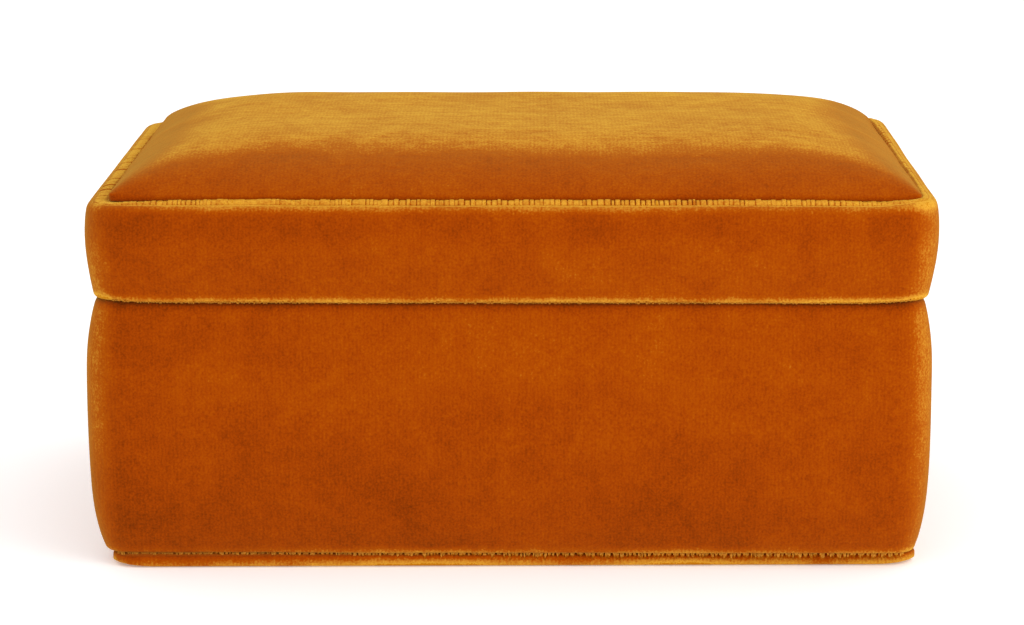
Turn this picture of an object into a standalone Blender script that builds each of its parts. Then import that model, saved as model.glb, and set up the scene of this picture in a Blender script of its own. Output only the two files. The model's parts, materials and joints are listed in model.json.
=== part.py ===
"""A velvet-covered storage box with a padded lid on two brass butt hinges.

The carcass is MDF, wrapped in wadding and cotton velvet and lined with cloth-covered card.
The lid is a shallow carcass of its own, with a crowned pad glued on top.
Metres, +Z up, front at -Y, origin under the middle of the base.
"""

import math

import bmesh
import bpy
from mathutils import Matrix, Vector

MM = 0.001

# Overall sizes, over the pile
WIDTH = 200 * MM
DEPTH = 130 * MM
CORNER_RADIUS = 9 * MM
BODY_HEIGHT = 64.6 * MM
BAND_HEIGHT = 22.9 * MM
PAD_RISE = 13.2 * MM

# Shape of the padding: how far the velvet draws in from its fullest level
BODY_FULLEST = 48 * MM
BODY_TUCK = 4.0 * MM
BODY_PINCH = 2.3 * MM
LID_FULLEST = 14.4 * MM
LID_PINCH = 2.3 * MM
LID_SHOULDER = 1.0 * MM
EDGE_RADIUS = 1.5 * MM
TUCK_CURVE = 5  # how late the body curves in towards its foot
PINCH_CURVE = 2  # and towards its rim
BAND_CURVE = 1.6  # the same for the lid's band, towards its lower edge
SHOULDER_CURVE = 2

# Cloth and padding
PILE_THICKNESS = 2.0 * MM
CLOTH_THICKNESS = 0.8 * MM
WADDING_THICKNESS = 4.4 * MM
TURN_IN = 10 * MM
TURN_UNDER = 11 * MM

# Boards and linings
BOARD_THICKNESS = 6.0 * MM
BASE_THICKNESS = 4.0 * MM
TOP_THICKNESS = 4.0 * MM
CARD_THICKNESS = 1.4 * MM
LINER_REVEAL = 1.5 * MM
LINER_EDGE = 0.3 * MM

# Covered card panel under the base
BOTTOM_CARD = 1.2 * MM
BOTTOM_EDGE = 1.3 * MM
BOTTOM_SETBACK = 4.1 * MM

# Pad on the lid
PAD_SETBACK = 5.5 * MM
PAD_CORNER = 6.0 * MM
PAD_SHOULDER = 34 * MM
PAD_DRAW_IN = 0.8 * MM
PAD_LIP = 1.0 * MM
PAD_CLOTH = 1.6 * MM
PAD_CARD = 1.2 * MM
RIDGE_WIDTH = 2.0 * MM

# Butt hinges
HINGE_INSET = 45 * MM
LEAF_LENGTH = 25 * MM
LEAF_THICKNESS = 1.0 * MM
LEAF_LIP = 0.5 * MM
PIN_RADIUS = 0.7 * MM
KNUCKLES = 5
AXIS_DEPTH = 0.2 * MM
SCREW_SPACING = 14 * MM
SCREW_RADIUS = 0.9 * MM
SCREW_HEAD_RADIUS = 1.5 * MM
SCREW_HEAD_HEIGHT = 0.7 * MM
SCREW_LENGTH = 8.0 * MM
SCREW_POINT = 1.6 * MM
SLOT_WIDTH = 0.4 * MM
SLOT_DEPTH = 0.35 * MM

# Clearances
GAP = 0.3 * MM
BARREL_ROOM = 0.4 * MM
CUT_MARGIN = 1.0 * MM

# Facets
CORNER_STEPS = 5
EDGE_STEPS = 3
WALL_STEPS = 8
PAD_STEPS = 10
PAD_SPAN_STEPS = 5
ROUND_STEPS = 16
SHARP_ANGLE = math.radians(40)
SMALLEST_RADIUS = 0.3 * MM
TINY = 1e-6

# Levels, from the table upwards
BOTTOM_HEIGHT = 2 * CLOTH_THICKNESS + BOTTOM_CARD + 2 * GAP
BODY_LOW = BOTTOM_HEIGHT + GAP
BODY_TOP = BODY_HEIGHT - GAP / 2
BASE_LOW = BODY_LOW + CLOTH_THICKNESS + GAP
BASE_TOP = BASE_LOW + BASE_THICKNESS
WALL_LOW = BASE_TOP + GAP
WALL_TOP = BODY_TOP - CLOTH_THICKNESS - GAP
FLOOR_TOP = BASE_TOP + GAP + CARD_THICKNESS
BAND_LOW = BODY_HEIGHT + GAP / 2
BAND_TOP = BODY_HEIGHT + BAND_HEIGHT
RAIL_LOW = BAND_LOW + CLOTH_THICKNESS + GAP
LID_BOARD_TOP = BAND_TOP - CLOTH_THICKNESS - GAP
LID_BOARD_LOW = LID_BOARD_TOP - TOP_THICKNESS
RAIL_TOP = LID_BOARD_LOW - GAP
CEILING_LOW = LID_BOARD_LOW - GAP - CARD_THICKNESS
PAD_LOW = BAND_TOP + GAP
PAD_CARD_LOW = PAD_LOW + CLOTH_THICKNESS + GAP
PAD_CARD_TOP = PAD_CARD_LOW + PAD_CARD
FOAM_LOW = PAD_CARD_TOP + GAP

# Depths into the wall, from the fullest outline inwards
WADDING_OUTER = PILE_THICKNESS + GAP
WADDING_INNER = WADDING_OUTER + WADDING_THICKNESS
BOARD_OUTER = WADDING_INNER + GAP
BOARD_INNER = BOARD_OUTER + BOARD_THICKNESS
TURN_OUTER = BOARD_INNER + GAP
TURN_INNER = TURN_OUTER + CLOTH_THICKNESS
LINER_OUTER = TURN_INNER + GAP
LINER_INNER = LINER_OUTER + CARD_THICKNESS
FLANGE_INNER = BOARD_OUTER + TURN_UNDER

# Hinge places
BARREL_RADIUS = PIN_RADIUS + GAP + LEAF_THICKNESS
AXIS_Y = DEPTH / 2 - BODY_PINCH - AXIS_DEPTH
AXIS_Z = BODY_HEIGHT
LEAF_EDGE_Y = DEPTH / 2 - BOARD_INNER + LEAF_LIP + GAP
SCREW_Y = DEPTH / 2 - (BOARD_OUTER + BOARD_INNER) / 2
KNUCKLE_LENGTH = LEAF_LENGTH / KNUCKLES
SIDES = (("left", -1), ("right", 1))


def clear_scene():
    for old in list(bpy.data.objects):
        bpy.data.objects.remove(old)


def linear(channel):
    """One sRGB channel, 0 to 255, as the linear value that a shader takes."""
    value = channel / 255
    if value <= 0.04045:
        return value / 12.92
    return ((value + 0.055) / 1.055) ** 2.4


def make_material(name, colour, roughness, metallic=0.0):
    """A Principled material from an sRGB colour such as 'B8560C'."""
    channels = [linear(int(colour[at : at + 2], 16)) for at in (0, 2, 4)]
    made = bpy.data.materials.new(name)
    made.use_nodes = True
    shader = made.node_tree.nodes["Principled BSDF"]
    shader.inputs["Base Color"].default_value = (*channels, 1)
    shader.inputs["Roughness"].default_value = roughness
    shader.inputs["Metallic"].default_value = metallic
    made.diffuse_color = (*channels, 1)
    return made


def make_object(name, shape, finish, location=(0, 0, 0), carrier=None):
    """Turns a bmesh into a named object at a world location, riding on its carrier."""
    bmesh.ops.recalc_face_normals(shape, faces=shape.faces)
    mesh = bpy.data.meshes.new(name)
    shape.to_mesh(mesh)
    shape.free()
    mesh.shade_smooth()
    mesh.set_sharp_from_angle(angle=SHARP_ANGLE)
    made = bpy.data.objects.new(name, mesh)
    bpy.context.scene.collection.objects.link(made)
    made.location = Vector(location)
    if finish:
        mesh.materials.append(finish)
    if carrier:
        made.parent = carrier
        made.location -= carrier.location
    return made


def make_cutter(name, shape):
    made = make_object(name, shape, None)
    made.hide_render = True
    made.display_type = "WIRE"
    return made


def cut(target, cutter):
    modifier = target.modifiers.new(cutter.name, "BOOLEAN")
    modifier.operation = "DIFFERENCE"
    modifier.solver = "EXACT"
    modifier.object = cutter


def round_edges(target, width):
    modifier = target.modifiers.new("rounded edges", "BEVEL")
    modifier.width = width
    modifier.segments = 2
    modifier.limit_method = "ANGLE"


def outline(half_x, half_y, radius, span_steps=1):
    """Points round a rectangle with rounded corners, as (x, y), the same count at any size."""
    points = []
    for turn, (sign_x, sign_y) in enumerate(((1, 1), (-1, 1), (-1, -1), (1, -1))):
        corner_x = sign_x * (half_x - radius)
        corner_y = sign_y * (half_y - radius)
        for step in range(CORNER_STEPS + 1):
            angle = math.pi / 2 * (turn + step / CORNER_STEPS)
            points.append((corner_x + radius * math.cos(angle), corner_y + radius * math.sin(angle)))
        start = points[-1]
        end = (start[0], -start[1]) if turn % 2 else (-start[0], start[1])
        for step in range(1, span_steps):
            along = (1 - math.cos(math.pi * step / span_steps)) / 2
            points.append(tuple(a + (b - a) * along for a, b in zip(start, end)))
    return points


def corner_radius(inset):
    return max(CORNER_RADIUS - inset, SMALLEST_RADIUS)


def box_loop(inset, height):
    """The box's outline at one depth into the wall, at one height."""
    points = outline(WIDTH / 2 - inset, DEPTH / 2 - inset, corner_radius(inset))
    return [(x, y, height) for x, y in points]


def loft(loops, ring=False, shape=None):
    """Skins a row of loops. A ring joins its last loop to its first; other rows are capped."""
    shape = shape or bmesh.new()
    rows = [[shape.verts.new(point) for point in loop] for loop in loops]
    pairs = list(zip(rows, rows[1:]))
    if ring:
        pairs.append((rows[-1], rows[0]))
    else:
        shape.faces.new(rows[0])
        shape.faces.new(rows[-1])
    for low, high in pairs:
        for at in range(len(low)):
            after = (at + 1) % len(low)
            shape.faces.new((low[at], low[after], high[after], high[at]))
    return shape


def block(size_x, size_y, size_z):
    """A box centred on its own origin."""
    shape = bmesh.new()
    add_block(shape, (size_x, size_y, size_z), (0, 0, 0))
    return shape


def body_inset(height):
    """How far the body's velvet lies inside its fullest outline at a height."""
    if height < BODY_FULLEST:
        return BODY_TUCK * ((BODY_FULLEST - height) / (BODY_FULLEST - BODY_LOW)) ** TUCK_CURVE
    return BODY_PINCH * ((height - BODY_FULLEST) / (BODY_TOP - BODY_FULLEST)) ** PINCH_CURVE


def band_inset(height):
    """The same for the band of velvet round the lid."""
    above = height - BAND_LOW
    if above < LID_FULLEST:
        return LID_PINCH * (1 - above / LID_FULLEST) ** BAND_CURVE
    shoulder = BAND_TOP - BAND_LOW - LID_FULLEST
    return LID_SHOULDER * ((above - LID_FULLEST) / shoulder) ** SHOULDER_CURVE


def padded_side(inset_at, low, high, radius, inward):
    """A padded wall from its underside to its top, with rounded edges, as (inset, height)."""
    points = []
    centre = inset_at(low + radius) + inward + radius
    for step in range(EDGE_STEPS):
        angle = math.pi / 2 * step / EDGE_STEPS
        points.append((centre - radius * math.sin(angle), low + radius - radius * math.cos(angle)))
    for step in range(WALL_STEPS + 1):
        height = low + radius + (high - low - 2 * radius) * step / WALL_STEPS
        points.append((inset_at(height) + inward, height))
    centre = inset_at(high - radius) + inward + radius
    for step in range(1, EDGE_STEPS + 1):
        angle = math.pi / 2 * step / EDGE_STEPS
        points.append((centre - radius * math.cos(angle), high - radius + radius * math.sin(angle)))
    return points


def ring_of(section):
    return loft([box_loop(inset, height) for inset, height in section], ring=True)


def velvet_wrap(inset_at, low, high, open_edge, closed_edge, turn):
    """Velvet round the four walls, hemmed in over the open edge and turned in at the closed one.

    open_edge and closed_edge are the two edges' heights. turn is 1 where the hem runs up
    from the open edge, and -1 where it runs down."""
    outer = padded_side(inset_at, low, high, EDGE_RADIUS, 0)
    inner = padded_side(
        inset_at,
        low + CLOTH_THICKNESS,
        high - CLOTH_THICKNESS,
        EDGE_RADIUS - CLOTH_THICKNESS,
        PILE_THICKNESS,
    )
    hem = [
        (TURN_INNER, open_edge),
        (TURN_INNER, open_edge + turn * TURN_IN),
        (TURN_OUTER, open_edge + turn * TURN_IN),
        (TURN_OUTER, open_edge + turn * CLOTH_THICKNESS),
    ]
    flange = [(FLANGE_INNER, closed_edge - turn * CLOTH_THICKNESS), (FLANGE_INNER, closed_edge)]
    if turn < 0:
        return ring_of(outer + hem + inner[::-1] + flange)
    return ring_of(outer[::-1] + hem + inner + flange)


def wadding_ring(inset_at, low, high):
    """Wadding between the velvet and the boards."""
    radius = max(EDGE_RADIUS - CLOTH_THICKNESS - GAP, SMALLEST_RADIUS)
    outer = padded_side(inset_at, low, high, radius, WADDING_OUTER)
    return ring_of(outer + [(WADDING_INNER, high), (WADDING_INNER, low)])


def board_panel(low, high, inset):
    """A flat board or card that follows the box's outline."""
    return loft([box_loop(inset, low), box_loop(inset, high)])


def wall_board(name, facing, low, high, finish, carrier=None):
    """A long board across the front or back, with its two outer corners rounded off."""
    shape = block(WIDTH - 2 * BOARD_OUTER, BOARD_THICKNESS, high - low)
    corners = [
        edge
        for edge in shape.edges
        if (edge.verts[0].co.xy - edge.verts[1].co.xy).length < TINY
        and edge.verts[0].co.y * facing > 0
    ]
    bmesh.ops.bevel(
        shape,
        geom=corners,
        offset=corner_radius(BOARD_OUTER),
        segments=CORNER_STEPS,
        profile=0.5,
        affect="EDGES",
    )
    middle = facing * (DEPTH - BOARD_OUTER - BOARD_INNER) / 2
    return make_object(name, shape, finish, (0, middle, (low + high) / 2), carrier)


def end_board(name, facing, low, high, finish, carrier=None):
    """A short board across one end, between the two long ones."""
    shape = block(BOARD_THICKNESS, DEPTH - 2 * BOARD_INNER - 2 * GAP, high - low)
    middle = facing * (WIDTH - BOARD_OUTER - BOARD_INNER) / 2
    return make_object(name, shape, finish, (middle, 0, (low + high) / 2), carrier)


def line_walls(prefix, low, high, finish, carrier=None):
    """Four cloth-covered cards that hide the hems on the inside of the walls."""
    long_middle = (DEPTH - LINER_OUTER - LINER_INNER) / 2
    for side, facing in (("front", -1), ("back", 1)):
        shape = block(WIDTH - 2 * LINER_OUTER, CARD_THICKNESS, high - low)
        place = (0, facing * long_middle, (low + high) / 2)
        round_edges(make_object(f"{prefix}{side}_liner", shape, finish, place, carrier), LINER_EDGE)
    short_middle = (WIDTH - LINER_OUTER - LINER_INNER) / 2
    for side, facing in SIDES:
        shape = block(CARD_THICKNESS, DEPTH - 2 * LINER_INNER - 2 * GAP, high - low)
        place = (facing * short_middle, 0, (low + high) / 2)
        round_edges(make_object(f"{prefix}{side}_liner", shape, finish, place, carrier), LINER_EDGE)


def cross_panel(name, low, finish, carrier=None):
    """A cloth-covered card that lies flat between the boards."""
    inset = BOARD_INNER + GAP
    shape = block(WIDTH - 2 * inset, DEPTH - 2 * inset, CARD_THICKNESS)
    panel = make_object(name, shape, finish, (0, 0, low + CARD_THICKNESS / 2), carrier)
    round_edges(panel, LINER_EDGE)


def bottom_cover():
    """Velvet pulled round the bottom card: a flat underside, rounded edges and a lip on top."""
    edge = BOTTOM_SETBACK + BOTTOM_EDGE
    corner = math.pi / 2 / EDGE_STEPS
    outer = [
        (edge - BOTTOM_EDGE * math.sin(corner * step), BOTTOM_EDGE * (1 - math.cos(corner * step)))
        for step in range(EDGE_STEPS + 1)
    ]
    outer += [(inset, BOTTOM_HEIGHT - height) for inset, height in outer[::-1]]
    card_edge = BOTTOM_SETBACK + CLOTH_THICKNESS
    inner = [
        (FLANGE_INNER, BOTTOM_HEIGHT),
        (FLANGE_INNER, BOTTOM_HEIGHT - CLOTH_THICKNESS),
        (card_edge, BOTTOM_HEIGHT - CLOTH_THICKNESS),
        (card_edge, CLOTH_THICKNESS),
    ]
    return loft([box_loop(inset, height) for inset, height in outer + inner])


def elliptic(share):
    """Height of a quarter ellipse, 0 to 1, at a share of the way in from its foot."""
    return math.sqrt(max(0.0, 1 - (1 - min(1.0, share)) ** 2))


def crown_share(x, y, half_x, half_y):
    """The crown's height, 0 to 1: a quarter ellipse in from each edge, blended where they meet."""
    end_rise = max(TINY, elliptic((half_x - abs(x)) / PAD_SHOULDER))
    side_rise = max(TINY, elliptic((half_y - abs(y)) / half_y))
    return (end_rise**-2 + side_rise**-2 - 1) ** -0.5


def pad_loop(inward, inset, height=None):
    """The pad's outline at a distance in from its edge, flat or following the crown."""
    half_x = WIDTH / 2 - PAD_SETBACK - inward
    half_y = DEPTH / 2 - PAD_SETBACK - inward
    radius = max(PAD_CORNER - inward - inset, SMALLEST_RADIUS)
    points = outline(half_x - inset, half_y - inset, radius, PAD_SPAN_STEPS)
    if height is not None:
        return [(x, y, height) for x, y in points]
    loop = []
    for x, y in points:
        share = crown_share(x, y, half_x, half_y)
        out_x = (abs(x) - half_x + inset + radius) / radius
        out_y = (abs(y) - half_y + inset + radius) / radius
        at_corner = 2 * out_x * out_y if min(out_x, out_y) > 0 else 0
        share *= 1 - at_corner * (1 - elliptic(inset / PAD_CORNER))
        loop.append((x, y, PAD_LOW + PAD_LIP + (PAD_RISE - PAD_LIP - inward) * share))
    return loop


def crown_loops(inward):
    """Loops from the pad's edge to the ridge along its middle, in equal turns of the ellipse."""
    half_y = DEPTH / 2 - PAD_SETBACK - inward
    turns = [math.pi / 2 * step / PAD_STEPS for step in range(PAD_STEPS)]
    insets = [half_y * (1 - math.cos(turn)) for turn in turns]
    return [pad_loop(inward, inset) for inset in insets + [half_y - RIDGE_WIDTH / 2]]


def pad_cover():
    """Velvet over the pad, drawn in at its foot and turned under the pad's card."""
    flange = PAD_DRAW_IN + TURN_UNDER
    outer = [pad_loop(0, flange, PAD_LOW), pad_loop(0, PAD_DRAW_IN, PAD_LOW)]
    outer += crown_loops(0)
    inner = [
        pad_loop(0, flange, PAD_LOW + CLOTH_THICKNESS),
        pad_loop(PAD_CLOTH, PAD_DRAW_IN / 2, PAD_LOW + CLOTH_THICKNESS),
    ]
    inner += crown_loops(PAD_CLOTH)
    return loft(outer[::-1] + inner)


def pad_foam():
    """The foam fills the cover and is cut flat where it lies on the card."""
    inward = PAD_CLOTH + GAP
    shape = loft([pad_loop(inward, 0, PAD_LOW)] + crown_loops(inward))
    everything = shape.verts[:] + shape.edges[:] + shape.faces[:]
    sliced = bmesh.ops.bisect_plane(
        shape,
        geom=everything,
        plane_co=(0, 0, FOAM_LOW),
        plane_no=(0, 0, 1),
        clear_inner=True,
    )
    rim = [item for item in sliced["geom_cut"] if isinstance(item, bmesh.types.BMEdge)]
    bmesh.ops.edgeloop_fill(shape, edges=rim)
    return shape


def add_block(shape, size, middle):
    place = Matrix.Translation(middle) @ Matrix.Diagonal((*size, 1))
    bmesh.ops.create_cube(shape, size=1, matrix=place)


def rod(shape, radius, length, centre_x, centre_y=AXIS_Y, centre_z=AXIS_Z):
    """Adds a cylinder along X, on the hinge axis unless it is placed elsewhere."""
    place = Matrix.Translation((centre_x, centre_y, centre_z)) @ Matrix.Rotation(math.pi / 2, 4, "Y")
    bmesh.ops.create_cone(
        shape,
        cap_ends=True,
        segments=ROUND_STEPS,
        radius1=radius,
        radius2=radius,
        depth=length,
        matrix=place,
    )
    return shape


def turned(shape, profile, place=(0, 0, 0)):
    """Adds a closed solid turned about Z, from (radius, height) points down or up its side."""
    loops = []
    for radius, height in profile:
        start = Vector((radius, 0, height))
        turns = [Matrix.Rotation(2 * math.pi * step / ROUND_STEPS, 4, "Z") for step in range(ROUND_STEPS)]
        loops.append([Vector(place) + turn @ start for turn in turns])
    return loft(loops, shape=shape)


def leaf_profile(side):
    """Section of a hinge leaf about its pin, as (y, z): a plate rolled into a barrel."""
    near = GAP / 2
    far = near + LEAF_THICKNESS
    start = math.atan2(-far, -math.sqrt(BARREL_RADIUS**2 - far**2)) + 2 * math.pi
    end = math.atan2(-near, -math.sqrt(BARREL_RADIUS**2 - near**2)) + 4 * math.pi
    turns = [start + (end - start) * step / ROUND_STEPS for step in range(ROUND_STEPS + 1)]
    points = [(BARREL_RADIUS * math.cos(turn), BARREL_RADIUS * math.sin(turn)) for turn in turns]
    points += [(LEAF_EDGE_Y - AXIS_Y, -near), (LEAF_EDGE_Y - AXIS_Y, -far)]
    return [(y, -side * z) for y, z in points]


def hinge_middles():
    """Where the hinges' middles lie along the back edge, each set in from its end of the box."""
    return [facing * (WIDTH / 2 - HINGE_INSET) for _, facing in SIDES]


def screw_places():
    """Where the screws stand along the back edge, by name."""
    return {
        f"{side}_{end}": middle + facing * away * SCREW_SPACING / 2
        for (side, facing), middle in zip(SIDES, hinge_middles())
        for end, away in (("outer", 1), ("inner", -1))
    }


def knuckle_room(name, first):
    """Removes every second knuckle from a leaf, from the first one given, for the other leaf's."""
    shape = bmesh.new()
    for middle in hinge_middles():
        for at in range(first, KNUCKLES, 2):
            low = at * KNUCKLE_LENGTH - (LEAF_LENGTH + GAP) / 2
            high = low + KNUCKLE_LENGTH + GAP
            if at == 0:
                low -= CUT_MARGIN
            if at == KNUCKLES - 1:
                high += CUT_MARGIN
            rod(shape, BARREL_RADIUS + GAP, high - low, middle + (low + high) / 2)
    return make_cutter(name, shape)


def rods_on_axis(name, radius, length):
    """One rod on the axis at each hinge: the pins' bores, or the room for the barrels."""
    shape = bmesh.new()
    for middle in hinge_middles():
        rod(shape, radius, length, middle)
    return make_cutter(name, shape)


def countersinks(name, side):
    """Countersunk holes through a leaf, wide end towards the other leaf."""
    shape = bmesh.new()
    profile = [
        (SCREW_HEAD_RADIUS + GAP, 0),
        (SCREW_HEAD_RADIUS + GAP, side * GAP / 2),
        (SCREW_RADIUS + GAP, side * (GAP / 2 + SCREW_HEAD_HEIGHT)),
        (SCREW_RADIUS + GAP, side * (GAP / 2 + LEAF_THICKNESS + CUT_MARGIN)),
    ]
    for x in screw_places().values():
        turned(shape, profile, (x, SCREW_Y, AXIS_Z))
    return make_cutter(name, shape)


def screw_holes(name, side):
    """Pilot holes bored into the edge of a board."""
    shape = bmesh.new()
    profile = [(SCREW_RADIUS + GAP, 0), (SCREW_RADIUS + GAP, side * (SCREW_LENGTH + GAP))]
    for x in screw_places().values():
        turned(shape, profile, (x, SCREW_Y, AXIS_Z))
    return make_cutter(name, shape)


def screw_slots(name, side):
    """Slots across the heads of a row of screws."""
    shape = bmesh.new()
    size = (2 * SCREW_HEAD_RADIUS + CUT_MARGIN, SLOT_WIDTH, SLOT_DEPTH + CUT_MARGIN)
    height = AXIS_Z + side * (GAP + SLOT_DEPTH - CUT_MARGIN) / 2
    for x in screw_places().values():
        add_block(shape, size, (x, SCREW_Y, height))
    return make_cutter(name, shape)


def leaf_pockets(name, side):
    """Mortises that let a row of leaves into the velvet, the wadding and the board."""
    shape = bmesh.new()
    near_y = LEAF_EDGE_Y - GAP
    far_y = DEPTH / 2 + CUT_MARGIN
    height = GAP / 2 + LEAF_THICKNESS + GAP
    for middle in hinge_middles():
        size = (LEAF_LENGTH + 2 * GAP, far_y - near_y, height)
        add_block(shape, size, (middle, (near_y + far_y) / 2, AXIS_Z + side * height / 2))
    return make_cutter(name, shape)


def build_body(finishes, room, pockets, holes):
    make_object("base_board", board_panel(BASE_LOW, BASE_TOP, BOARD_OUTER), finishes["mdf"])
    wall_board("front_board", -1, WALL_LOW, WALL_TOP, finishes["mdf"])
    back = wall_board("back_board", 1, WALL_LOW, WALL_TOP, finishes["mdf"])
    cut(back, pockets)
    cut(back, holes)
    for side, facing in SIDES:
        end_board(f"{side}_board", facing, WALL_LOW, WALL_TOP, finishes["mdf"])
    ring = wadding_ring(body_inset, BASE_LOW, WALL_TOP)
    wadding = make_object("body_wadding", ring, finishes["wadding"])
    wrap = velvet_wrap(body_inset, BODY_LOW, BODY_TOP, BODY_TOP, BODY_LOW, -1)
    velvet = make_object("body_velvet", wrap, finishes["velvet"])
    for soft in (wadding, velvet):
        cut(soft, room)
        cut(soft, pockets)
    cross_panel("floor_liner", BASE_TOP + GAP, finishes["lining"])
    line_walls("", FLOOR_TOP + GAP, BODY_TOP - LINER_REVEAL, finishes["lining"])


def build_bottom(finishes):
    low = CLOTH_THICKNESS + GAP
    inset = BOTTOM_SETBACK + CLOTH_THICKNESS + GAP
    make_object("bottom_card", board_panel(low, low + BOTTOM_CARD, inset), finishes["card"])
    make_object("bottom_velvet", bottom_cover(), finishes["velvet"])


def build_lid(finishes, room, pockets, holes, axis):
    top = board_panel(LID_BOARD_LOW, LID_BOARD_TOP, BOARD_OUTER)
    make_object("lid_board", top, finishes["mdf"], carrier=axis)
    wall_board("lid_front_rail", -1, RAIL_LOW, RAIL_TOP, finishes["mdf"], axis)
    back = wall_board("lid_back_rail", 1, RAIL_LOW, RAIL_TOP, finishes["mdf"], axis)
    cut(back, pockets)
    cut(back, holes)
    for side, facing in SIDES:
        end_board(f"lid_{side}_rail", facing, RAIL_LOW, RAIL_TOP, finishes["mdf"], axis)
    ring = wadding_ring(band_inset, RAIL_LOW, LID_BOARD_TOP)
    wadding = make_object("lid_wadding", ring, finishes["wadding"], carrier=axis)
    wrap = velvet_wrap(band_inset, BAND_LOW, BAND_TOP, BAND_LOW, BAND_TOP, 1)
    velvet = make_object("lid_band_velvet", wrap, finishes["velvet"], carrier=axis)
    for soft in (wadding, velvet):
        cut(soft, room)
        cut(soft, pockets)
    cross_panel("lid_ceiling_liner", CEILING_LOW, finishes["lining"], axis)
    line_walls("lid_", BAND_LOW + LINER_REVEAL, CEILING_LOW - GAP, finishes["lining"], axis)


def build_pad(finishes, axis):
    inward = PAD_CLOTH + GAP
    low = pad_loop(inward, PAD_DRAW_IN, PAD_CARD_LOW)
    high = pad_loop(inward, PAD_DRAW_IN, PAD_CARD_TOP)
    make_object("pad_card", loft([low, high]), finishes["card"], carrier=axis)
    make_object("pad_foam", pad_foam(), finishes["foam"], carrier=axis)
    make_object("pad_velvet", pad_cover(), finishes["velvet"], carrier=axis)


def build_leaves(row, side, first_gap, bore, finish, carrier):
    """The two leaves that lie in one row: the lower ones on the body, the upper on the lid."""
    gaps = knuckle_room(f"{row}_knuckle_room", first_gap)
    sinks = countersinks(f"{row}_countersinks", side)
    for (end, _), middle in zip(SIDES, hinge_middles()):
        faces = [[(x, y, z) for y, z in leaf_profile(side)] for x in (-LEAF_LENGTH / 2, LEAF_LENGTH / 2)]
        place = (middle, AXIS_Y, AXIS_Z)
        leaf = make_object(f"{end}_hinge_{row}_leaf", loft(faces), finish, place, carrier)
        for cutter in (gaps, bore, sinks):
            cut(leaf, cutter)


def build_screws(row, side, finish, carrier):
    """Slotted countersunk screws, their heads flush with the face of the leaf."""
    slots = screw_slots(f"{row}_screw_slots", side)
    profile = [
        (SCREW_HEAD_RADIUS, side * GAP / 2),
        (SCREW_RADIUS, side * (GAP / 2 + SCREW_HEAD_HEIGHT)),
        (SCREW_RADIUS, side * (SCREW_LENGTH - SCREW_POINT)),
        (SCREW_RADIUS / 4, side * SCREW_LENGTH),
    ]
    for name, x in screw_places().items():
        shape = turned(bmesh.new(), profile)
        made = make_object(f"{name}_{row}_screw", shape, finish, (x, SCREW_Y, AXIS_Z), carrier)
        cut(made, slots)


def build_hinges(brass, axis):
    """Two butt hinges. Their pins are fixed in the lower leaves, and the upper leaves turn."""
    bore = rods_on_axis("pin_bores", PIN_RADIUS + GAP, LEAF_LENGTH + 2 * CUT_MARGIN)
    build_leaves("lower", -1, 1, bore, brass, None)
    build_leaves("upper", 1, 0, bore, brass, axis)
    build_screws("lower", -1, brass, None)
    build_screws("upper", 1, brass, axis)
    for (end, _), middle in zip(SIDES, hinge_middles()):
        pin = rod(bmesh.new(), PIN_RADIUS, LEAF_LENGTH, 0, 0, 0)
        make_object(f"{end}_hinge_pin", pin, brass, (middle, AXIS_Y, AXIS_Z))


def main():
    clear_scene()
    finishes = {
        "velvet": make_material("cotton velvet", "B8560C", 0.85),
        "mdf": make_material("MDF", "A88560", 0.7),
        "wadding": make_material("polyester wadding", "EDEAE2", 0.9),
        "foam": make_material("upholstery foam", "E8DFA8", 0.9),
        "card": make_material("greyboard", "8E8A82", 0.8),
        "lining": make_material("cotton sateen", "C79A4B", 0.6),
        "brass": make_material("brass", "C9A45A", 0.3, 1.0),
    }
    axis = bpy.data.objects.new("lid_axis", None)
    bpy.context.scene.collection.objects.link(axis)
    axis.location = (0, AXIS_Y, AXIS_Z)
    room = rods_on_axis("barrel_room", BARREL_RADIUS + BARREL_ROOM, LEAF_LENGTH + 2 * BARREL_ROOM)
    pockets = leaf_pockets("lower_pockets", -1), leaf_pockets("upper_pockets", 1)
    holes = screw_holes("lower_screw_holes", -1), screw_holes("upper_screw_holes", 1)
    build_body(finishes, room, pockets[0], holes[0])
    build_bottom(finishes)
    build_lid(finishes, room, pockets[1], holes[1], axis)
    build_pad(finishes, axis)
    build_hinges(finishes["brass"], axis)


main()
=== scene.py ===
import json
import random
from math import atan2, copysign, cos, hypot, pi, radians, sin, sqrt, tau

import bmesh
import bpy
from mathutils import Matrix, Vector, noise


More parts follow.
